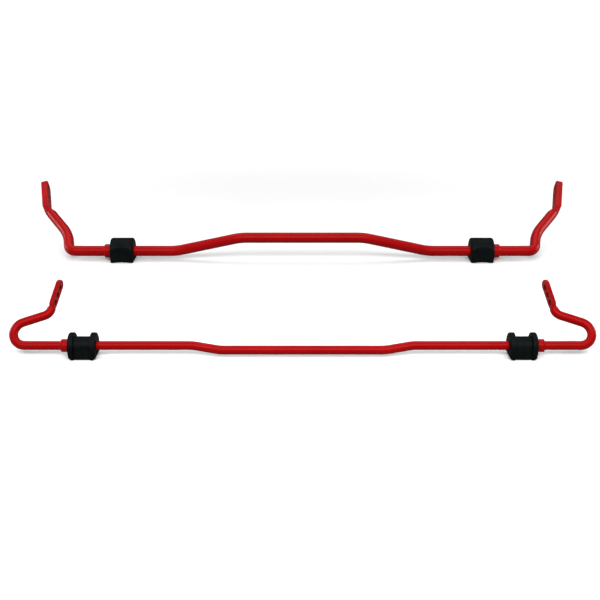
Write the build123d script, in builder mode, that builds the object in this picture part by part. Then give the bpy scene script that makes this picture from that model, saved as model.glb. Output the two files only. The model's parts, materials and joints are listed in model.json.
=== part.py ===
"""Sway bar set: a front bar and a rear bar, each with two split bushings and two stop rings.

The bars stand on the flats of their bushings, the rear bar in front of the front bar.
Origin: floor level, under the centre of the set. +X is the car's lateral axis, +Y runs from the
rear bar to the front bar and +Z is up. Every dimension is in millimetres and every angle in degrees.
"""

import os
from math import acos, atan2, cos, degrees, hypot, radians, sin, tan

from build123d import *

# ---- layout ----
FRONT_AXIS_Y = 190.0
REAR_AXIS_Y = -383.0

# ---- front bar ----
FRONT_BAR_DIA = 24.0
FRONT_AXIS_HEIGHT = 21.5
FRONT_ARM_TILT = 28.0
FRONT_CENTRE_TILT = 118.0
FRONT_CENTRE_RISE = 43.0
FRONT_CENTRE_HALF = 143.0
FRONT_SLOPE_END = 294.0
FRONT_SLOPE_RADIUS = 115.0
FRONT_CORNER_X = 546.0
FRONT_CORNER_RADIUS = 19.0
FRONT_ELBOW = (557.5, 56.0)
FRONT_ELBOW_RADIUS = 120.0
FRONT_TUBE_END = (608.5, 125.0)
FRONT_PLATE_START = (623.5, 141.5)
FRONT_PLATE_LEAN = -12.5
FRONT_PLATE_TWIST = 6.0
FRONT_PLATE_LENGTH = 85.0
FRONT_PLATE_WIDTH = 32.0
FRONT_PLATE_THICKNESS = 15.0
FRONT_HOLE_DIA = 12.5
FRONT_HOLES = (47.0, 81.0)

# ---- rear bar ----
REAR_BAR_DIA = 16.0
REAR_AXIS_HEIGHT = 21.0
REAR_ARM_TILT = 48.0
REAR_CENTRE_DROP = 8.5
REAR_CENTRE_HALF = 147.0
REAR_SLOPE_END = 195.0
REAR_SLOPE_RADIUS = 95.0
REAR_HOOK_CENTRE_X = 492.6
REAR_HOOK_RADIUS = 22.5
REAR_HOOK_TURN = 160.5
REAR_ELBOW_X = 454.5
REAR_ELBOW_RADIUS = 18.0
REAR_PLATE_LEAN = 12.0
REAR_PLATE_TWIST = 5.0
REAR_TUBE_RUN = 11.0
REAR_PLATE_RUN = 17.5
REAR_PLATE_LENGTH = 38.5
REAR_PLATE_WIDTH = 23.0
REAR_PLATE_THICKNESS = 7.0
REAR_HOLE_DIA = 10.5
REAR_HOLES = (6.0, 20.5, 35.0)

# ---- forged ends ----
PLATE_CORNER_RADIUS = 3.0
PLATE_EDGE_RADIUS = 1.2

# ---- front bushings and rings ----
FRONT_BUSHING_X = 420.0
FRONT_BUSHING_LENGTH = 53.0
FRONT_BUSHING_RADIUS = 31.0
FRONT_BUSHING_HALF_BASE = 27.0
FRONT_WAIST_DEPTH = 5.0
FRONT_FOOT_LENGTH = 6.0
FRONT_ARCH_DEPTH = 2.5
FRONT_RIM_RADIUS = 4.0
FRONT_EDGE_RADIUS = 1.5
FRONT_RING_DIA = 32.0
FRONT_RING_WIDTH = 15.0

# ---- rear bushings and rings ----
REAR_BUSHING_X = 389.0
REAR_BUSHING_LENGTH = 48.5
REAR_LIP_RADIUS = 23.5
REAR_LIP_WIDTH = 9.5
REAR_SADDLE_RADIUS = 16.5
REAR_BUSHING_HALF_BASE = 19.0
REAR_SADDLE_STEP = 2.0
REAR_BASE_CHAMFER = 5.0
REAR_RIM_RADIUS = 2.5
REAR_EDGE_RADIUS = 0.9
REAR_RING_DIA = 23.0
REAR_RING_WIDTH = 14.0

# ---- clearances ----
BUSHING_CLEARANCE = 0.05
RING_GAP = 0.8
RING_CHAMFER = 1.5
SLIT_WIDTH = 0.8

# ---- moulded edges ----
SHARP_ANGLE = 15.0


def tilted_plane(axis_y, axis_height, tilt):
    """Plane through a bar's axis: local X runs along the axis, local Y rises by tilt."""
    return Plane(
        origin=(0, axis_y, axis_height),
        x_dir=(1, 0, 0),
        z_dir=(0, -sin(radians(tilt)), cos(radians(tilt))),
    )


def section_plane(arm_plane, point, lean, twist):
    """Plane across an arm at a point of its plane, where the arm leans inward by lean.

    Local X is the flat end's thickness direction and local Y its width. Without twist the width is
    square to the arm's plane, and twist turns the end about its own length, its inner flat upward.
    """
    heading = Vector(-sin(radians(lean)), cos(radians(lean)), 0)
    thickness = Vector(cos(radians(lean)), sin(radians(lean)), -tan(radians(twist)))
    return Plane(
        origin=arm_plane.from_local_coords(Vector(point[0], point[1], 0)),
        x_dir=arm_plane.from_local_coords(thickness) - arm_plane.origin,
        z_dir=arm_plane.from_local_coords(heading) - arm_plane.origin,
    )


def along(point, lean, distance):
    """Point of an arm's plane reached from another along a leg that leans inward by lean."""
    return (
        point[0] - sin(radians(lean)) * distance,
        point[1] + cos(radians(lean)) * distance,
    )


def flat_plane(start):
    """Middle plane of a flat link end: local X runs along the end, local Z is its thickness."""
    return Plane(origin=start.origin, x_dir=start.z_dir, z_dir=start.x_dir)


def forge_plate(start, length, width, thickness):
    """Flat link end: it leaves its start plane and ends in a half round."""
    flat = flat_plane(start)
    with BuildPart() as plate:
        with BuildSketch(flat.offset(-thickness / 2)):
            with Locations((length / 2, 0)):
                Rectangle(length, width)
            with Locations((length, 0)):
                Circle(width / 2)
        extrude(amount=thickness)
        rims = plate.faces().filter_by(Axis(flat.origin, flat.z_dir)).edges()
        free_rims = [rim for rim in rims if start.to_local_coords(rim.center()).Z > PLATE_EDGE_RADIUS]
        fillet(free_rims, PLATE_EDGE_RADIUS)
    return plate.part


def link_hole_cut(start, distances, hole_dia, depth):
    """Cut for the link holes, at their distances from the start plane of a flat end."""
    with BuildPart() as cut:
        with BuildSketch(flat_plane(start)):
            with Locations([(distance, 0) for distance in distances]):
                Circle(hole_dia / 2)
        extrude(amount=depth / 2, both=True)
    return cut.part


def cross_plane(x, axis_y, axis_height):
    """Plane square to a bar's axis at x: local X points to +Y and local Y points up."""
    return Plane(origin=(x, axis_y, axis_height), x_dir=(0, 1, 0), z_dir=(1, 0, 0))


def d_outline(top_radius, half_base, base_depth, mode=Mode.ADD):
    """Outline of a bushing: round over the bar, sides leaving the round on a tangent, flat base."""
    reach = hypot(half_base, base_depth)
    side_angle = degrees(acos(top_radius / reach) - atan2(base_depth, half_base))
    with BuildLine() as outline:
        top = CenterArc((0, 0), top_radius, side_angle, 180 - 2 * side_angle)
        Polyline(top @ 1, (-half_base, -base_depth), (half_base, -base_depth), top @ 0)
    make_face(outline.edges(), mode=mode)


def stop_ring(x_start, axis_y, axis_height, bore_dia, outer_dia, width):
    """Collar round a bar with both outer rims chamfered."""
    with BuildPart() as ring:
        with BuildSketch(cross_plane(x_start, axis_y, axis_height)):
            Circle(outer_dia / 2)
            Circle(bore_dia / 2, mode=Mode.SUBTRACT)
        extrude(amount=width)
        outer_rims = ring.edges().filter_by(GeomType.CIRCLE).group_by(SortBy.RADIUS)[-1]
        chamfer(outer_rims, RING_CHAMFER)
    return ring.part


def sharp_edges(body):
    """Edges of a body whose two faces meet at more than SHARP_ANGLE."""
    found = []
    for edge in body.edges():
        middle = edge @ 0.5
        normals = [face.normal_at(middle) for face in body.faces() if edge in face.edges()]
        if normals[0].get_angle(normals[-1]) > SHARP_ANGLE:
            found.append(edge)
    return found


def split_bore(x_centre, axis_y, axis_height, length, bore_dia, reach):
    """Cut for a bushing: the bore for the bar and the slit that lets the bushing open on one side."""
    with BuildPart() as cut:
        with BuildSketch(cross_plane(x_centre - length / 2, axis_y, axis_height)):
            Circle(bore_dia / 2)
            with Locations((reach / 2, 0)):
                Rectangle(reach, SLIT_WIDTH)
        extrude(amount=length)
    return cut.part


# ---- front bar ----
front_arm_plane = tilted_plane(FRONT_AXIS_Y, FRONT_AXIS_HEIGHT, FRONT_ARM_TILT)
front_centre_plane = tilted_plane(FRONT_AXIS_Y, FRONT_AXIS_HEIGHT, FRONT_CENTRE_TILT)
front_plate_plane = section_plane(
    front_arm_plane, FRONT_PLATE_START, FRONT_PLATE_LEAN, FRONT_PLATE_TWIST
)
front_plate = forge_plate(
    front_plate_plane,
    FRONT_PLATE_LENGTH,
    FRONT_PLATE_WIDTH,
    FRONT_PLATE_THICKNESS,
)
front_hole_cut = link_hole_cut(front_plate_plane, FRONT_HOLES, FRONT_HOLE_DIA, FRONT_BAR_DIA)

with BuildPart() as front_bar:
    with BuildLine(front_centre_plane):
        front_centre_path = FilletPolyline(
            (0, FRONT_CENTRE_RISE),
            (FRONT_CENTRE_HALF, FRONT_CENTRE_RISE),
            (FRONT_SLOPE_END, 0),
            (FRONT_BUSHING_X, 0),
            radius=FRONT_SLOPE_RADIUS,
        )
    with BuildSketch(Plane(front_centre_path @ 0, z_dir=front_centre_path % 0)):
        Circle(FRONT_BAR_DIA / 2)
    sweep(path=front_centre_path)
    with BuildLine(front_arm_plane):
        front_arm_path = FilletPolyline(
            (FRONT_BUSHING_X, 0),
            (FRONT_CORNER_X, 0),
            FRONT_ELBOW,
            FRONT_TUBE_END,
            radius=(FRONT_CORNER_RADIUS, FRONT_ELBOW_RADIUS),
        )
    with BuildSketch(Plane(front_arm_path @ 0, z_dir=front_arm_path % 0)):
        Circle(FRONT_BAR_DIA / 2)
    sweep(path=front_arm_path)
    with BuildSketch(Plane(front_arm_path @ 1, z_dir=front_arm_path % 1)):
        Circle(FRONT_BAR_DIA / 2)
    with BuildSketch(front_plate_plane):
        RectangleRounded(FRONT_PLATE_THICKNESS, FRONT_PLATE_WIDTH, PLATE_CORNER_RADIUS)
    loft()
    add(front_plate)
    add(front_hole_cut, mode=Mode.SUBTRACT)
    mirror(about=Plane.YZ)

# ---- rear bar ----
rear_arm_plane = tilted_plane(REAR_AXIS_Y, REAR_AXIS_HEIGHT, REAR_ARM_TILT)
hook_end = (
    REAR_HOOK_CENTRE_X + REAR_HOOK_RADIUS * sin(radians(REAR_HOOK_TURN)),
    REAR_HOOK_RADIUS * (1 - cos(radians(REAR_HOOK_TURN))),
)
hook_slope = -sin(radians(REAR_HOOK_TURN)) / cos(radians(REAR_HOOK_TURN))
rear_elbow = (REAR_ELBOW_X, hook_end[1] + (hook_end[0] - REAR_ELBOW_X) * hook_slope)
rear_tube_end = along(rear_elbow, REAR_PLATE_LEAN, REAR_TUBE_RUN)
rear_plate_start = along(rear_elbow, REAR_PLATE_LEAN, REAR_PLATE_RUN)
rear_plate_plane = section_plane(
    rear_arm_plane, rear_plate_start, REAR_PLATE_LEAN, REAR_PLATE_TWIST
)
rear_plate = forge_plate(
    rear_plate_plane,
    REAR_PLATE_LENGTH,
    REAR_PLATE_WIDTH,
    REAR_PLATE_THICKNESS,
)
rear_hole_cut = link_hole_cut(rear_plate_plane, REAR_HOLES, REAR_HOLE_DIA, REAR_BAR_DIA)

with BuildPart() as rear_bar:
    with BuildLine(rear_arm_plane) as rear_path:
        FilletPolyline(
            (0, -REAR_CENTRE_DROP),
            (REAR_CENTRE_HALF, -REAR_CENTRE_DROP),
            (REAR_SLOPE_END, 0),
            (REAR_BUSHING_X, 0),
            radius=REAR_SLOPE_RADIUS,
        )
        Line((REAR_BUSHING_X, 0), (REAR_HOOK_CENTRE_X, 0))
        CenterArc((REAR_HOOK_CENTRE_X, REAR_HOOK_RADIUS), REAR_HOOK_RADIUS, -90, REAR_HOOK_TURN)
        FilletPolyline(hook_end, rear_elbow, rear_tube_end, radius=REAR_ELBOW_RADIUS)
    rear_wire = rear_path.wire()
    with BuildSketch(Plane(rear_wire @ 0, z_dir=rear_wire % 0)):
        Circle(REAR_BAR_DIA / 2)
    sweep(path=rear_wire)
    with BuildSketch(Plane(rear_wire @ 1, z_dir=rear_wire % 1)):
        Circle(REAR_BAR_DIA / 2)
    with BuildSketch(rear_plate_plane):
        RectangleRounded(REAR_PLATE_THICKNESS, REAR_PLATE_WIDTH, PLATE_CORNER_RADIUS)
    loft()
    add(rear_plate)
    add(rear_hole_cut, mode=Mode.SUBTRACT)
    mirror(about=Plane.YZ)

# ---- stop rings: pressed on the bars just outboard of the bushings ----
with BuildPart() as front_stop_ring_right:
    add(
        stop_ring(
            FRONT_BUSHING_X + FRONT_BUSHING_LENGTH / 2 + RING_GAP,
            FRONT_AXIS_Y,
            FRONT_AXIS_HEIGHT,
            FRONT_BAR_DIA,
            FRONT_RING_DIA,
            FRONT_RING_WIDTH,
        )
    )

with BuildPart() as front_stop_ring_left:
    mirror(front_stop_ring_right.part, about=Plane.YZ)

with BuildPart() as rear_stop_ring_right:
    add(
        stop_ring(
            REAR_BUSHING_X + REAR_BUSHING_LENGTH / 2 + RING_GAP,
            REAR_AXIS_Y,
            REAR_AXIS_HEIGHT,
            REAR_BAR_DIA,
            REAR_RING_DIA,
            REAR_RING_WIDTH,
        )
    )

with BuildPart() as rear_stop_ring_left:
    mirror(rear_stop_ring_right.part, about=Plane.YZ)

# ---- front bushing: plain round top, waisted sides, base arched between two feet ----
front_bore = split_bore(
    FRONT_BUSHING_X,
    FRONT_AXIS_Y,
    FRONT_AXIS_HEIGHT,
    FRONT_BUSHING_LENGTH,
    FRONT_BAR_DIA + 2 * BUSHING_CLEARANCE,
    2 * FRONT_BUSHING_RADIUS,
)

with BuildPart() as front_bushing_right:
    with BuildSketch(
        cross_plane(FRONT_BUSHING_X - FRONT_BUSHING_LENGTH / 2, FRONT_AXIS_Y, FRONT_AXIS_HEIGHT)
    ):
        d_outline(FRONT_BUSHING_RADIUS, FRONT_BUSHING_HALF_BASE, FRONT_AXIS_HEIGHT)
    extrude(amount=FRONT_BUSHING_LENGTH)
    end_faces = front_bushing_right.faces().filter_by(Axis.X)
    fillet(end_faces.edges().filter_by(GeomType.CIRCLE), FRONT_RIM_RADIUS)
    with BuildSketch(Plane((FRONT_BUSHING_X, FRONT_AXIS_Y, 0))):
        for side in (-1, 1):
            waist_y = side * (FRONT_BUSHING_RADIUS - FRONT_WAIST_DEPTH)
            with BuildLine():
                ThreePointArc(
                    (-FRONT_BUSHING_LENGTH / 2, side * FRONT_BUSHING_RADIUS),
                    (0, waist_y),
                    (FRONT_BUSHING_LENGTH / 2, side * FRONT_BUSHING_RADIUS),
                )
                Polyline(
                    (FRONT_BUSHING_LENGTH / 2, side * FRONT_BUSHING_RADIUS),
                    (FRONT_BUSHING_LENGTH / 2, side * 2 * FRONT_BUSHING_RADIUS),
                    (-FRONT_BUSHING_LENGTH / 2, side * 2 * FRONT_BUSHING_RADIUS),
                    (-FRONT_BUSHING_LENGTH / 2, side * FRONT_BUSHING_RADIUS),
                )
            make_face()
    extrude(amount=2 * FRONT_BUSHING_RADIUS, mode=Mode.SUBTRACT)
    with BuildSketch(Plane((FRONT_BUSHING_X, FRONT_AXIS_Y, 0), x_dir=(1, 0, 0), z_dir=(0, -1, 0))):
        with BuildLine():
            foot_start = FRONT_BUSHING_LENGTH / 2 - FRONT_FOOT_LENGTH
            ThreePointArc((-foot_start, 0), (0, FRONT_ARCH_DEPTH), (foot_start, 0))
            Line((foot_start, 0), (-foot_start, 0))
        make_face()
    extrude(amount=2 * FRONT_BUSHING_RADIUS, both=True, mode=Mode.SUBTRACT)
    fillet(sharp_edges(front_bushing_right.part), FRONT_EDGE_RADIUS)
    add(front_bore, mode=Mode.SUBTRACT)

with BuildPart() as front_bushing_left:
    mirror(front_bushing_right.part, about=Plane.YZ)

# ---- rear bushing: a raised lip at each end of a saddle, base chamfered at both ends ----
rear_bore = split_bore(
    REAR_BUSHING_X,
    REAR_AXIS_Y,
    REAR_AXIS_HEIGHT,
    REAR_BUSHING_LENGTH,
    REAR_BAR_DIA + 2 * BUSHING_CLEARANCE,
    2 * REAR_LIP_RADIUS,
)

with BuildPart() as rear_bushing_right:
    rear_bushing_start = REAR_BUSHING_X - REAR_BUSHING_LENGTH / 2
    with BuildSketch(cross_plane(rear_bushing_start, REAR_AXIS_Y, REAR_AXIS_HEIGHT)):
        d_outline(REAR_LIP_RADIUS, REAR_BUSHING_HALF_BASE, REAR_AXIS_HEIGHT)
    extrude(amount=REAR_BUSHING_LENGTH)
    end_edges = rear_bushing_right.faces().filter_by(Axis.X).edges()
    fillet(end_edges.filter_by(GeomType.CIRCLE), REAR_RIM_RADIUS)
    with BuildSketch(Plane((REAR_BUSHING_X, REAR_AXIS_Y, 0), x_dir=(1, 0, 0), z_dir=(0, -1, 0))):
        Rectangle(REAR_BUSHING_LENGTH, 3 * REAR_LIP_RADIUS, align=(Align.CENTER, Align.MIN))
        chamfer(vertices().group_by(Axis.Y)[0], REAR_BASE_CHAMFER)
    extrude(amount=2 * REAR_LIP_RADIUS, both=True, mode=Mode.INTERSECT)
    saddle_length = REAR_BUSHING_LENGTH - 2 * REAR_LIP_WIDTH
    with BuildSketch(
        cross_plane(rear_bushing_start + REAR_LIP_WIDTH, REAR_AXIS_Y, REAR_AXIS_HEIGHT)
    ):
        Rectangle(4 * REAR_LIP_RADIUS, 4 * REAR_LIP_RADIUS)
        d_outline(
            REAR_SADDLE_RADIUS,
            REAR_BUSHING_HALF_BASE - REAR_SADDLE_STEP,
            REAR_AXIS_HEIGHT,
            mode=Mode.SUBTRACT,
        )
    extrude(amount=saddle_length, mode=Mode.SUBTRACT)
    fillet(sharp_edges(rear_bushing_right.part), REAR_EDGE_RADIUS)
    add(rear_bore, mode=Mode.SUBTRACT)

with BuildPart() as rear_bushing_left:
    mirror(rear_bushing_right.part, about=Plane.YZ)

# ---- labels and files ----
pieces = {
    "front_bar": front_bar,
    "front_stop_ring_left": front_stop_ring_left,
    "front_stop_ring_right": front_stop_ring_right,
    "front_bushing_left": front_bushing_left,
    "front_bushing_right": front_bushing_right,
    "rear_bar": rear_bar,
    "rear_stop_ring_left": rear_stop_ring_left,
    "rear_stop_ring_right": rear_stop_ring_right,
    "rear_bushing_left": rear_bushing_left,
    "rear_bushing_right": rear_bushing_right,
}
os.makedirs("parts", exist_ok=True)
for label, piece in pieces.items():
    piece.part.label = label
    export_step(piece.part, f"parts/{label}.step")
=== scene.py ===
"""Studio scene of a sway bar set: a front and a rear bar with their stop rings and split bushings.

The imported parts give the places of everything. The bars and the rings are rebuilt here as fine skins
that follow the same bends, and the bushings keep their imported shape.
Every length is in metres and every angle in radians, unless a name says otherwise.
"""

import json
from cmath import phase, rect
from math import ceil, cos, hypot, pi, radians, sin, sqrt, tan

import bmesh
import bpy
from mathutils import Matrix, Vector


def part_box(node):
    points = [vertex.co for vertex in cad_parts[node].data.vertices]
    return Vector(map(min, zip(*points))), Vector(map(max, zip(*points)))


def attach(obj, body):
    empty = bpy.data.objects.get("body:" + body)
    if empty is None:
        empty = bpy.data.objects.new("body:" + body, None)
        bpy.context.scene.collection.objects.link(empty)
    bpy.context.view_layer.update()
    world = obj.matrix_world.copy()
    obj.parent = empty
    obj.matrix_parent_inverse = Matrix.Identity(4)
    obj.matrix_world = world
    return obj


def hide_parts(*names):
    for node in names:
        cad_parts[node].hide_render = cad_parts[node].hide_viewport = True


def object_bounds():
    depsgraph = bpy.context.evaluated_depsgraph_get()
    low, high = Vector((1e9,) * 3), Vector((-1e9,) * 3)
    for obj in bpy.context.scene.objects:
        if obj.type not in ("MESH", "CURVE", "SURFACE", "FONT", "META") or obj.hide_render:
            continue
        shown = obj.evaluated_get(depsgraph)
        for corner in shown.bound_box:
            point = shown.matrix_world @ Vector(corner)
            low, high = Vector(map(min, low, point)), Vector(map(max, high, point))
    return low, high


MILLIMETRE = 0.001

# ---- front bar: places in a bend plane are complex, real along the axis and imaginary up the tilt ----
FRONT_BAR_RADIUS = 0.012
FRONT_ARM_TILT = radians(28)
FRONT_CENTRE_TILT = radians(118)
FRONT_CENTRE = (0.043j, 0.143 + 0.043j, 0.294, 0.420)
FRONT_CENTRE_BENDS = (0.115, 0.115)
FRONT_ARM = (0.420, 0.546, 0.5575 + 0.056j, 0.6085 + 0.125j)
FRONT_ARM_BENDS = (0.019, 0.120)
FRONT_PLATE_START = 0.6235 + 0.1415j
FRONT_PLATE_LEAN = radians(-12.5)
FRONT_PLATE_TWIST = radians(6)
FRONT_PLATE_LENGTH = 0.085
FRONT_PLATE_HALF_WIDTH = 0.016
FRONT_PLATE_HALF_THICKNESS = 0.0075

# ---- rear bar ----
REAR_BAR_RADIUS = 0.008
REAR_ARM_TILT = radians(48)
REAR_CENTRE = (-0.0085j, 0.147 - 0.0085j, 0.195, 0.389)
REAR_CENTRE_BENDS = (0.095, 0.095)
REAR_HOOK_START = 0.4926
REAR_HOOK_RADIUS = 0.0225
REAR_HOOK_TURN = radians(160.5)
REAR_ELBOW_X = 0.4545
REAR_ELBOW_RADIUS = 0.018
REAR_PLATE_LEAN = radians(12)
REAR_PLATE_TWIST = radians(5)
REAR_TUBE_RUN = 0.011
REAR_PLATE_RUN = 0.0175
REAR_PLATE_LENGTH = 0.0385
REAR_PLATE_HALF_WIDTH = 0.0115
REAR_PLATE_HALF_THICKNESS = 0.0035

# ---- forging ----
PLATE_EDGE_RADIUS = 0.0016
HOLE_RIM_CHAMFER = 0.0006
SOFT_LENGTH = 0.008
SOFT_PASSES = 14

# ---- stop rings ----
RING_CHAMFER = 0.0013
RING_ROUND = 0.0005

# ---- how finely the skins are meshed ----
ARC_STEP = radians(2.5)
STATION_STEP = 0.0008
LONG_STEP = 0.02
WIDE_SIDE_POINTS = 12
CORNER_POINTS = 7
NARROW_SIDE_POINTS = 5
ROUND_END_STEPS = 28
TURNED_STEPS = 72
SMOOTH_ANGLE = radians(32)
WELD_DISTANCE = 1e-6

# ---- paint and rubber: depths in metres, noises in spots to the metre, spans from low to high ----
PAINT_DEEP = (0.205, 0.0012, 0.0014)
PAINT_BRIGHT = (0.250, 0.0018, 0.0022)
PAINT_EDGE = (0.130, 0.0010, 0.0010)
PAINT_SHEEN = (1.0, 0.15, 0.15, 1.0)
PAINT_SHINE = 0.2
PAINT_ROUGHNESS = (0.30, 0.38)
PAINT_CLOUD_SPOTS = 14
PAINT_GLOSS_SPOTS = 60
EDGE_SPAN = (0.53, 0.60)
EDGE_WEAR = 0.35
PEEL_DEPTH = 0.00010
PEEL_SPOTS = 420
FINE_PEEL_DEPTH = PEEL_DEPTH / 6
FINE_PEEL_SPOTS = 1500
NIB_DEPTH = PEEL_DEPTH / 2
NIB_SPOTS = 900
NIB_SPAN = (0.78, 0.84)
RUBBER_DARK = (0.0012, 0.0020, 0.0020)
RUBBER_BLOOM = (0.0028, 0.0042, 0.0042)
RUBBER_SHINE = 0.045
RUBBER_ROUGHNESS = (0.48, 0.62)
BLOOM_SPOTS = 70
BLOOM_SPAN = (0.35, 0.75)
GRAIN_DEPTH = 0.00006
GRAIN_SPOTS = 1800
DIMPLE_DEPTH = GRAIN_DEPTH * 2
DIMPLE_SPOTS = 160
SEAM_HALF_WIDTH = 0.0005
SEAM_HEIGHT = 0.00015
NOISE_SPAN = (0.3, 0.7)

# ---- sockets of a mix node set to colours: its share and two colours in, its colour out ----
COLOUR_MIX_INPUTS = (0, 6, 7)
COLOUR_MIX_OUTPUT = 2

# ---- room and light: name, place, aim, size and watts of each softbox ----
FLOOR_BOUNCE = (0.26, 0.26, 0.26)
FLOOR_DIM = (0.88, 0.88, 0.88)
FLOOR_PALE = (0.90, 0.90, 0.90)
FLOOR_ROUGHNESS = (0.10, 0.16)
FLOOR_CLOUD_SPOTS = 1.5
FLOOR_GLOSS_SPOTS = 8
FLOOR_RADIUS = 1.6
FLOOR_FADE_START = 0.8
FLOOR_STEPS = 96
FLOOR_GAP = 0.0002
WORLD_FILL = 0.22
WORLD_MIRRORED = 0.08
WORLD_SEEN = 1.15
SOFTBOXES = (
    ("key_softbox", (0, -2.6, 2.2), (0, 0, 0), (3.4, 1.4), 185),
    ("top_softbox", (0, 0.9, 2.8), (0, 0.4, 0), (3.6, 2.4), 62),
    ("left_softbox", (-1.7, 0.3, 0.42), (-0.58, 0.25, 0.06), (0.7, 0.5), 11),
    ("right_softbox", (1.7, 0.3, 0.42), (0.58, 0.25, 0.06), (0.7, 0.5), 11),
)

# ---- camera, with its lens and sensor in millimetres ----
CAMERA_PLACE = Vector((-0.0048, -1.919, 0.664))
CAMERA_PITCH = radians(19.94)
CAMERA_LENS = 56.28
CAMERA_SENSOR = 36

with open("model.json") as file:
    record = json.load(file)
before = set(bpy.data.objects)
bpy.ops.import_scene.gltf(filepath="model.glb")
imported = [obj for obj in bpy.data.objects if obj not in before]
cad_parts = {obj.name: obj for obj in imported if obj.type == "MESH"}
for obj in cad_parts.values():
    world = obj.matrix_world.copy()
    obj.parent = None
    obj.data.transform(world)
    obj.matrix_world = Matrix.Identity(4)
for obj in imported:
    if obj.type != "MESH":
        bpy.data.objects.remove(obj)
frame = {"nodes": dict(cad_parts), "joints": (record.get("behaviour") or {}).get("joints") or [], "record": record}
cad_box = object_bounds()
nodes = frame["nodes"]
joints = {joint["name"]: joint for joint in frame["joints"]}
link_holes = [mount for mount in frame["record"]["mounts"] if mount["kind"] == "bore"]


# ---- lines of the bars ----
def rounded_path(corners, radii):
    """Points of a line through the corners, with an arc of its radius at each inner corner."""
    points = [complex(corners[0])]
    for before, corner, after, radius in zip(corners, corners[1:], corners[2:], radii):
        heading = (corner - before) / abs(corner - before)
        turn = phase((after - corner) / heading)
        start = corner - heading * radius * tan(abs(turn) / 2)
        centre = start + heading * 1j * radius * (1 if turn > 0 else -1)
        steps = ceil(abs(turn) / ARC_STEP)
        arc = [centre + (start - centre) * rect(1, turn * step / steps) for step in range(steps + 1)]
        points += [point for point in arc if abs(point - points[-1]) > STATION_STEP / 2]
    return points + [complex(corners[-1])]


def filled(points, step):
    """The same line with extra points, so that no two neighbours are further apart than step."""
    dense = [points[0]]
    for start, end in zip(points, points[1:]):
        count = max(1, ceil(abs(end - start) / step))
        dense += [start + (end - start) * share / count for share in range(1, count + 1)]
    return dense


def direction(step, tilt):
    """A step of a bend plane as a vector in the row frame: the plane rises from the axis by tilt."""
    return Vector((step.real, step.imag * cos(tilt), step.imag * sin(tilt)))


def placed(points, axis_place, tilt):
    """Points of the bend plane that holds a bar's axis, in the row frame."""
    return [Vector(axis_place) + direction(point, tilt) for point in points]


def plane_normal(tilt):
    """Direction square to a bend plane."""
    return Vector((0, -sin(tilt), cos(tilt)))


# ---- rings of points round a bar ----
def plate_section(half_thickness, half_width):
    """Outline of a flat end as (thickness, width) pairs: a rectangle with rounded corners."""
    edge = PLATE_EDGE_RADIUS
    flat_width = half_width - edge
    flat_thickness = half_thickness - edge
    quarter = [(half_thickness, flat_width * i / WIDE_SIDE_POINTS) for i in range(WIDE_SIDE_POINTS)]
    for step in range(CORNER_POINTS + 1):
        angle = pi / 2 * step / CORNER_POINTS
        quarter.append((flat_thickness + edge * cos(angle), flat_width + edge * sin(angle)))
    for step in range(1, NARROW_SIDE_POINTS):
        quarter.append((flat_thickness * (1 - step / NARROW_SIDE_POINTS), half_width))
    half = quarter + [(0, half_width)] + [(-a, b) for a, b in reversed(quarter)]
    return half + [(a, -b) for a, b in reversed(half[1:-1])]


def round_section(section, radius):
    """The same points pushed out or in to a circle, so that the two outlines blend point by point."""
    return [(radius * a / hypot(a, b), radius * b / hypot(a, b)) for a, b in section]


def rounded_end_section(section, to_tip, half_thickness, half_width):
    """A flat end's outline at a distance from its tip, where the end is a half round."""
    edge = PLATE_EDGE_RADIUS
    flat_thickness = half_thickness - edge
    limit = flat_thickness + sqrt(max(0, edge**2 - max(0, edge - to_tip) ** 2))
    narrowed = []
    for a, b in section:
        a = max(-limit, min(limit, a))
        inset = edge - sqrt(max(0, edge**2 - max(0, abs(a) - flat_thickness) ** 2))
        radius = half_width - inset
        reach = sqrt(max(0, radius**2 - (half_width - to_tip) ** 2))
        narrowed.append((a, b * reach / radius))
    return narrowed


def ring(place, heading, normal, section):
    """Points of a section set square to a heading, its width along the normal."""
    across = heading.cross(normal)
    return [place + across * a + normal * b for a, b in section]


def tube_rings(points, normal, section):
    """Rings of a section along a line of points, the normal carried along without twist."""
    rings = []
    for index, place in enumerate(points):
        before = points[max(index - 1, 0)]
        after = points[min(index + 1, len(points) - 1)]
        heading = (after - before).normalized()
        normal = (normal - heading * normal.dot(heading)).normalized()
        rings.append(ring(place, heading, normal, section))
    return rings


def blended(start_ring, end_ring, steps):
    """Rings between two others, both left out."""
    return [
        [start.lerp(end, step / steps) for start, end in zip(start_ring, end_ring)]
        for step in range(1, steps)
    ]


def softened(rings, first, last):
    """Rings with the creases between first and last rounded off, as a forging die leaves them."""
    for _ in range(SOFT_PASSES):
        smoothed = [
            [(a + b * 2 + c) / 4 for a, b, c in zip(*rings[index - 1 : index + 2])]
            for index in range(first, last)
        ]
        rings[first:last] = smoothed
    return rings


def flat_end_rings(start, lean, twist, length, half_thickness, half_width, section, axis_place, tilt):
    """Rings of a flat link end, from its start to the tip of its half round."""
    heading = direction(1j * rect(1, lean), tilt)
    across = heading.cross(plane_normal(tilt))
    normal = plane_normal(tilt) * cos(twist) + across * sin(twist)
    origin = Vector(axis_place) + direction(start, tilt)
    full_length = length + half_width
    runs = [STATION_STEP * step for step in range(int(SOFT_LENGTH / STATION_STEP))]
    runs.append(length)
    for step in range(1, ROUND_END_STEPS + 1):
        runs.append(length + half_width * sin(pi / 2 * step / ROUND_END_STEPS))
    rings = []
    for run in runs:
        shape = section
        if run > length:
            shape = rounded_end_section(section, full_length - run, half_thickness, half_width)
        rings.append(ring(origin + heading * run, heading, normal, shape))
    return rings


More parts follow.
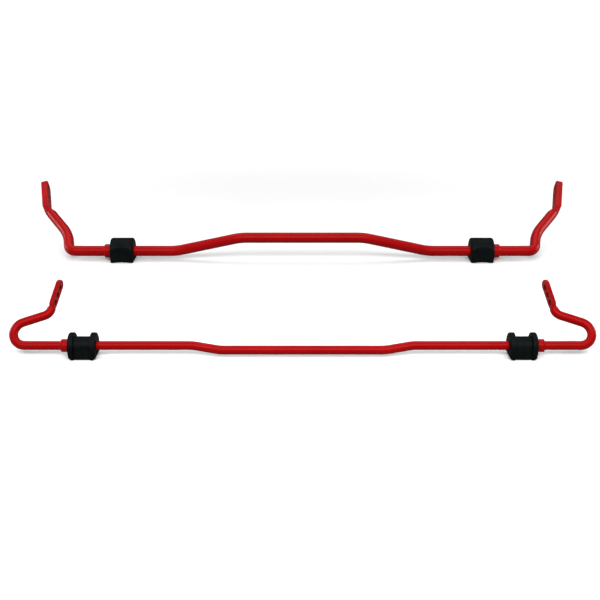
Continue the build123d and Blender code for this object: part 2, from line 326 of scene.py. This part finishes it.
def bar_rings(centre, arm, flat_end, axis_place, centre_tilt, arm_tilt, radius, section):
    """Rings of a bar's right half, from the middle to the tip: centre line, arm and flat end."""
    tube = round_section(section, radius)
    centre_points = placed(filled(centre, LONG_STEP), axis_place, centre_tilt)
    arm_line = filled(arm[:-1], LONG_STEP) + filled(arm[-2:], STATION_STEP)[1:]
    arm_points = placed(arm_line, axis_place, arm_tilt)
    rings = tube_rings(centre_points + arm_points[1:], plane_normal(arm_tilt), tube)
    shoulder = len(rings)
    gap = (flat_end[0][0] - rings[-1][0]).length
    rings += blended(rings[-1], flat_end[0], ceil(gap / STATION_STEP))
    plate = len(rings)
    rings += flat_end
    soft = int(SOFT_LENGTH / STATION_STEP) - 1
    return softened(rings, shoulder - soft, plate + soft)


# ---- meshes ----
def smooth_but_sharp(mesh):
    """Smooth shading, except across edges that turn by more than SMOOTH_ANGLE."""
    mesh.shade_smooth()
    mesh.set_sharp_from_angle(angle=SMOOTH_ANGLE)


def new_piece(name, body):
    """Object from a bmesh, linked into the scene."""
    mesh = bpy.data.meshes.new(name)
    bmesh.ops.recalc_face_normals(body, faces=body.faces)
    body.to_mesh(mesh)
    body.free()
    smooth_but_sharp(mesh)
    piece = bpy.data.objects.new(name, mesh)
    bpy.context.scene.collection.objects.link(piece)
    return piece


def join_rows(body, rows):
    """Faces between each closed row of points and the next."""
    for near, far in zip(rows, rows[1:]):
        for index, vertex in enumerate(near):
            body.faces.new((near[index - 1], vertex, far[index], far[index - 1]))


def add_skin(body, rings):
    """Closed skin through rings of equal length, whose last ring has shrunk to a line at each end."""
    rows = [[body.verts.new(point) for point in one_ring] for one_ring in rings]
    join_rows(body, rows)
    bmesh.ops.remove_doubles(body, verts=rows[0] + rows[-1], dist=WELD_DISTANCE)


def bar_skin(name, half_rings):
    """A whole bar: its right half and the mirror image of that half in one skin."""
    mirrored = [[Vector((-p.x, p.y, p.z)) for p in one_ring] for one_ring in half_rings[:0:-1]]
    body = bmesh.new()
    add_skin(body, mirrored + half_rings)
    return new_piece(name, body)


def add_turned(body, profile, place, axis):
    """Turned skin, open at both ends, through (distance along, radius) pairs: its rows of points."""
    axis = Vector(axis).normalized()
    side = axis.orthogonal().normalized()
    other = axis.cross(side)
    angles = [2 * pi * step / TURNED_STEPS for step in range(TURNED_STEPS)]
    rows = []
    for along, radius in profile:
        centre = Vector(place) + axis * along
        rows.append([body.verts.new(centre + (side * cos(t) + other * sin(t)) * radius) for t in angles])
    join_rows(body, rows)
    return rows


def drilled(piece, holes):
    """The piece with its link holes cut and their rims chamfered."""
    body = bmesh.new()
    for hole in holes:
        radius = hole["dims"]["r_mm"] * MILLIMETRE
        half_length = hole["dims"]["length_mm"] * MILLIMETRE / 2
        flare_start = half_length - HOLE_RIM_CHAMFER
        flare_end = half_length + HOLE_RIM_CHAMFER
        profile = [
            (-flare_end, radius + 2 * HOLE_RIM_CHAMFER),
            (-flare_start, radius),
            (flare_start, radius),
            (flare_end, radius + 2 * HOLE_RIM_CHAMFER),
        ]
        rows = add_turned(body, profile, hole["pos_m"], hole["axis"])
        body.faces.new(rows[0])
        body.faces.new(rows[-1])
    cutter = new_piece("hole_cutter", body)
    cut = piece.modifiers.new("link_holes", "BOOLEAN")
    cut.operation = "DIFFERENCE"
    cut.solver = "EXACT"
    cut.object = cutter
    result = piece.evaluated_get(bpy.context.evaluated_depsgraph_get())
    piece.data = bpy.data.meshes.new_from_object(result)
    piece.modifiers.clear()
    smooth_but_sharp(piece.data)
    bpy.data.objects.remove(cutter)
    return piece


def stop_ring(node, bar_radius):
    """Collar with chamfered, softened rims, in the place of a packed ring."""
    low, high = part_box(node)
    centre = (low + high) / 2
    half_width = (high.x - low.x) / 2
    radius = (high.z - low.z) / 2
    rim = [
        (half_width, bar_radius),
        (half_width, radius - RING_CHAMFER - RING_ROUND),
        (half_width - RING_ROUND / 3, radius - RING_CHAMFER),
        (half_width - RING_CHAMFER, radius - RING_ROUND / 3),
        (half_width - RING_CHAMFER - RING_ROUND, radius),
    ]
    body = bmesh.new()
    rows = add_turned(body, [(-along, r) for along, r in rim] + rim[::-1], centre, (1, 0, 0))
    join_rows(body, [rows[-1], rows[0]])
    return new_piece(node + "_collar", body)


# ---- materials ----
def plug(tree, socket, value):
    """A value for a socket, or a link to it when the value is another node's output."""
    if isinstance(value, bpy.types.NodeSocket):
        tree.links.new(value, socket)
    else:
        socket.default_value = value


def set_inputs(tree, node, **inputs):
    """Values or links for a node's inputs, each under its name with _ for a space."""
    for name, value in inputs.items():
        plug(tree, node.inputs[name.replace("_", " ")], value)


def add_node(tree, kind, settings=(), **inputs):
    """New node with its settings and inputs, each input a value or another node's output."""
    node = tree.nodes.new(kind)
    for name, value in settings:
        setattr(node, name, value)
    set_inputs(tree, node, **inputs)
    return node


def absolute(tree, value):
    """A value without its sign."""
    made = add_node(tree, "ShaderNodeMath", [("operation", "ABSOLUTE")])
    plug(tree, made.inputs[0], value)
    return made.outputs["Value"]


def new_material(name):
    """Node material with its tree, its shader and the place on the object as a vector."""
    material = bpy.data.materials.new(name)
    material.use_nodes = True
    tree = material.node_tree
    shader = tree.nodes["Principled BSDF"]
    place = tree.nodes.new("ShaderNodeTexCoord").outputs["Object"]
    return material, tree, shader, place


def noise(tree, place, spots, detail):
    """Noise between 0 and 1, with so many spots to the metre and so many finer layers over them."""
    made = add_node(tree, "ShaderNodeTexNoise", Vector=place, Scale=spots, Detail=detail)
    return made.outputs["Fac"]


def spread(tree, value, span, to_span=(0.0, 1.0)):
    """A value's span from low to high, mapped to another span and held inside it."""
    made = add_node(tree, "ShaderNodeMapRange", Value=value)
    for name, number in zip(("From Min", "From Max", "To Min", "To Max"), (*span, *to_span)):
        made.inputs[name].default_value = number
    return made.outputs["Result"]


def ramp(tree, share, span, first, second):
    """Colour that runs from one to another while the share runs over a span."""
    made = add_node(tree, "ShaderNodeValToRGB", Fac=share)
    for stop, position, colour in zip(made.color_ramp.elements, span, (first, second)):
        stop.position = position
        stop.color = (*colour, 1)
    return made.outputs["Color"]


def mixed(tree, share, first, second):
    """Colour on the way from one to another, each a colour or another node's output."""
    made = add_node(tree, "ShaderNodeMix", [("data_type", "RGBA")])
    for index, value in zip(COLOUR_MIX_INPUTS, (share, first, second)):
        plug(tree, made.inputs[index], value)
    return made.outputs[COLOUR_MIX_OUTPUT]


def bump(tree, height, depth, under=None):
    """Surface normal raised by a height between 0 and 1 times a depth in metres."""
    made = add_node(tree, "ShaderNodeBump", Height=height, Distance=depth)
    if under:
        tree.links.new(under, made.inputs["Normal"])
    return made.outputs["Normal"]


def powder_coat():
    """Half-gloss red powder coat: flowed-out orange peel, a few nibs, darker where edges are sharp."""
    material, tree, shader, place = new_material("red_powder_coat")
    cloud = noise(tree, place, PAINT_CLOUD_SPOTS, detail=3)
    colour = ramp(tree, cloud, NOISE_SPAN, PAINT_DEEP, PAINT_BRIGHT)
    edge = tree.nodes.new("ShaderNodeNewGeometry").outputs["Pointiness"]
    worn = spread(tree, edge, EDGE_SPAN, (0, EDGE_WEAR))
    peel = noise(tree, place, PEEL_SPOTS, detail=1)
    fine_peel = noise(tree, place, FINE_PEEL_SPOTS, detail=2)
    nibs = spread(tree, noise(tree, place, NIB_SPOTS, detail=0), NIB_SPAN)
    gloss = noise(tree, place, PAINT_GLOSS_SPOTS, detail=4)
    normal = bump(tree, peel, PEEL_DEPTH)
    normal = bump(tree, fine_peel, FINE_PEEL_DEPTH, normal)
    normal = bump(tree, nibs, NIB_DEPTH, normal)
    set_inputs(
        tree,
        shader,
        Base_Color=mixed(tree, worn, colour, (*PAINT_EDGE, 1)),
        Roughness=spread(tree, gloss, NOISE_SPAN, PAINT_ROUGHNESS),
        Specular_IOR_Level=PAINT_SHINE,
        Specular_Tint=PAINT_SHEEN,
        Normal=normal,
    )
    return material


def moulded_rubber(name, seam_x):
    """Near-black bushing rubber: fine mould grain, faint bloom and a mould seam round its middle."""
    material, tree, shader, place = new_material(name)
    bloom = noise(tree, place, BLOOM_SPOTS, detail=5)
    along = add_node(tree, "ShaderNodeSeparateXYZ", Vector=place).outputs["X"]
    off_seam = add_node(tree, "ShaderNodeMath", [("operation", "SUBTRACT")])
    plug(tree, off_seam.inputs[0], absolute(tree, along))
    plug(tree, off_seam.inputs[1], seam_x)
    distance = absolute(tree, off_seam.outputs["Value"])
    seam = spread(tree, distance, (0, SEAM_HALF_WIDTH), (1, 0))
    normal = bump(tree, noise(tree, place, GRAIN_SPOTS, detail=3), GRAIN_DEPTH)
    normal = bump(tree, noise(tree, place, DIMPLE_SPOTS, detail=2), DIMPLE_DEPTH, normal)
    normal = bump(tree, seam, SEAM_HEIGHT, normal)
    set_inputs(
        tree,
        shader,
        Base_Color=ramp(tree, bloom, BLOOM_SPAN, RUBBER_DARK, RUBBER_BLOOM),
        Roughness=spread(tree, bloom, NOISE_SPAN, RUBBER_ROUGHNESS),
        Specular_IOR_Level=RUBBER_SHINE,
        Normal=normal,
    )
    return material


def studio_white():
    """Polished pale studio floor that fades out towards its rim.

    It is faintly uneven in its gloss, and darker in bounced light and in reflections than to the eye.
    """
    material, tree, shader, place = new_material("studio_white")
    cloud = noise(tree, place, FLOOR_CLOUD_SPOTS, detail=3)
    pale = ramp(tree, cloud, NOISE_SPAN, FLOOR_DIM, FLOOR_PALE)
    gloss = noise(tree, place, FLOOR_GLOSS_SPOTS, detail=3)
    seen = tree.nodes.new("ShaderNodeLightPath").outputs["Is Camera Ray"]
    from_middle = add_node(tree, "ShaderNodeVectorMath", [("operation", "LENGTH")], Vector=place)
    set_inputs(
        tree,
        shader,
        Base_Color=mixed(tree, seen, (*FLOOR_BOUNCE, 1), pale),
        Roughness=spread(tree, gloss, NOISE_SPAN, FLOOR_ROUGHNESS),
        Alpha=spread(tree, from_middle.outputs["Value"], (FLOOR_FADE_START, FLOOR_RADIUS), (1, 0)),
    )
    return material


# ---- studio ----
def studio_floor(material):
    """Round floor at the height the bushings stand on."""
    body = bmesh.new()
    angles = [2 * pi * step / FLOOR_STEPS for step in range(FLOOR_STEPS)]
    body.faces.new([body.verts.new((FLOOR_RADIUS * cos(t), FLOOR_RADIUS * sin(t), 0)) for t in angles])
    floor = new_piece("studio_floor", body)
    floor.location.z = cad_box[0].z - FLOOR_GAP
    floor.data.materials.append(material)


def softbox(name, place, aim, size, power):
    """Rectangular area light at a place, turned to face another."""
    light = bpy.data.lights.new(name, "AREA")
    light.shape = "RECTANGLE"
    light.size, light.size_y = size
    light.energy = power
    lamp = bpy.data.objects.new(name, light)
    lamp.location = place
    lamp.rotation_euler = (Vector(aim) - Vector(place)).to_track_quat("-Z", "Y").to_euler()
    bpy.context.scene.collection.objects.link(lamp)


def studio_world():
    """White surroundings for the eye, dimmer ones as fill light and dimmer still in reflections."""
    world = bpy.data.worlds.new("studio_world")
    world.use_nodes = True
    bpy.context.scene.world = world
    tree = world.node_tree
    ray = tree.nodes.new("ShaderNodeLightPath")
    strength = spread(tree, ray.outputs["Is Glossy Ray"], (0, 1), (WORLD_FILL, WORLD_MIRRORED))
    seen = add_node(tree, "ShaderNodeMix", Factor=ray.outputs["Is Camera Ray"], A=strength, B=WORLD_SEEN)
    background = tree.nodes["Background"]
    background.inputs["Color"].default_value = (1, 1, 1, 1)
    tree.links.new(seen.outputs["Result"], background.inputs["Strength"])


def studio_camera():
    """Camera straight in front of the set, looking slightly down at both bars."""
    camera = bpy.data.cameras.new("studio_camera")
    camera.lens = CAMERA_LENS
    camera.sensor_width = CAMERA_SENSOR
    holder = bpy.data.objects.new("studio_camera", camera)
    holder.location = CAMERA_PLACE
    holder.rotation_euler = (pi / 2 - CAMERA_PITCH, 0, 0)
    bpy.context.scene.collection.objects.link(holder)
    bpy.context.scene.camera = holder


# ---- front bar ----
red_paint = powder_coat()
front_axis = joints["front_bar_swing"]["pos_m"]
front_section = plate_section(FRONT_PLATE_HALF_THICKNESS, FRONT_PLATE_HALF_WIDTH)
front_flat_end = flat_end_rings(
    FRONT_PLATE_START,
    FRONT_PLATE_LEAN,
    FRONT_PLATE_TWIST,
    FRONT_PLATE_LENGTH,
    FRONT_PLATE_HALF_THICKNESS,
    FRONT_PLATE_HALF_WIDTH,
    front_section,
    front_axis,
    FRONT_ARM_TILT,
)
front_rings = bar_rings(
    rounded_path(FRONT_CENTRE, FRONT_CENTRE_BENDS),
    rounded_path(FRONT_ARM, FRONT_ARM_BENDS),
    front_flat_end,
    front_axis,
    FRONT_CENTRE_TILT,
    FRONT_ARM_TILT,
    FRONT_BAR_RADIUS,
    front_section,
)
front_skin = bar_skin("front_bar_skin", front_rings)
front_skin = drilled(front_skin, [hole for hole in link_holes if hole["name"].startswith("front")])

# ---- rear bar ----
rear_axis = joints["rear_bar_swing"]["pos_m"]
rear_section = plate_section(REAR_PLATE_HALF_THICKNESS, REAR_PLATE_HALF_WIDTH)
hook_centre = complex(REAR_HOOK_START, REAR_HOOK_RADIUS)
hook_steps = ceil(REAR_HOOK_TURN / ARC_STEP)
hook = [
    hook_centre + rect(REAR_HOOK_RADIUS, REAR_HOOK_TURN * step / hook_steps - pi / 2)
    for step in range(1, hook_steps + 1)
]
leg = rect(1, REAR_HOOK_TURN)
rear_elbow = hook[-1] + leg * (REAR_ELBOW_X - hook[-1].real) / leg.real
rear_heading = 1j * rect(1, REAR_PLATE_LEAN)
rear_arm_end = [hook[-1], rear_elbow, rear_elbow + rear_heading * REAR_TUBE_RUN]
rear_arm = [complex(REAR_CENTRE[-1]), complex(REAR_HOOK_START)] + hook
rear_arm += rounded_path(rear_arm_end, (REAR_ELBOW_RADIUS,))[1:]
rear_flat_end = flat_end_rings(
    rear_elbow + rear_heading * REAR_PLATE_RUN,
    REAR_PLATE_LEAN,
    REAR_PLATE_TWIST,
    REAR_PLATE_LENGTH,
    REAR_PLATE_HALF_THICKNESS,
    REAR_PLATE_HALF_WIDTH,
    rear_section,
    rear_axis,
    REAR_ARM_TILT,
)
rear_rings = bar_rings(
    rounded_path(REAR_CENTRE, REAR_CENTRE_BENDS),
    rear_arm,
    rear_flat_end,
    rear_axis,
    REAR_ARM_TILT,
    REAR_ARM_TILT,
    REAR_BAR_RADIUS,
    rear_section,
)
rear_skin = bar_skin("rear_bar_skin", rear_rings)
rear_skin = drilled(rear_skin, [hole for hole in link_holes if hole["name"].startswith("rear")])

# ---- paint, rings and bushings ----
for end, skin, bar_radius in (
    ("front", front_skin, FRONT_BAR_RADIUS),
    ("rear", rear_skin, REAR_BAR_RADIUS),
):
    painted = {end + "_bar": skin}
    for side in ("left", "right"):
        ring_node = end + "_stop_ring_" + side
        painted[ring_node] = stop_ring(ring_node, bar_radius)
    for node, piece in painted.items():
        piece.data.materials.append(red_paint)
        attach(piece, end + "_bar_body")
        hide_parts(node)
    low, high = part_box(end + "_bushing_right")
    rubber = moulded_rubber(end + "_bushing_rubber", (low.x + high.x) / 2)
    for side in ("left", "right"):
        bushing = nodes[end + "_bushing_" + side]
        bushing.data.materials.clear()
        bushing.data.materials.append(rubber)

# ---- room, light and camera ----
studio_floor(studio_white())
studio_world()
for light in SOFTBOXES:
    softbox(*light)
studio_camera()
bpy.context.scene.view_settings.view_transform = "Standard"
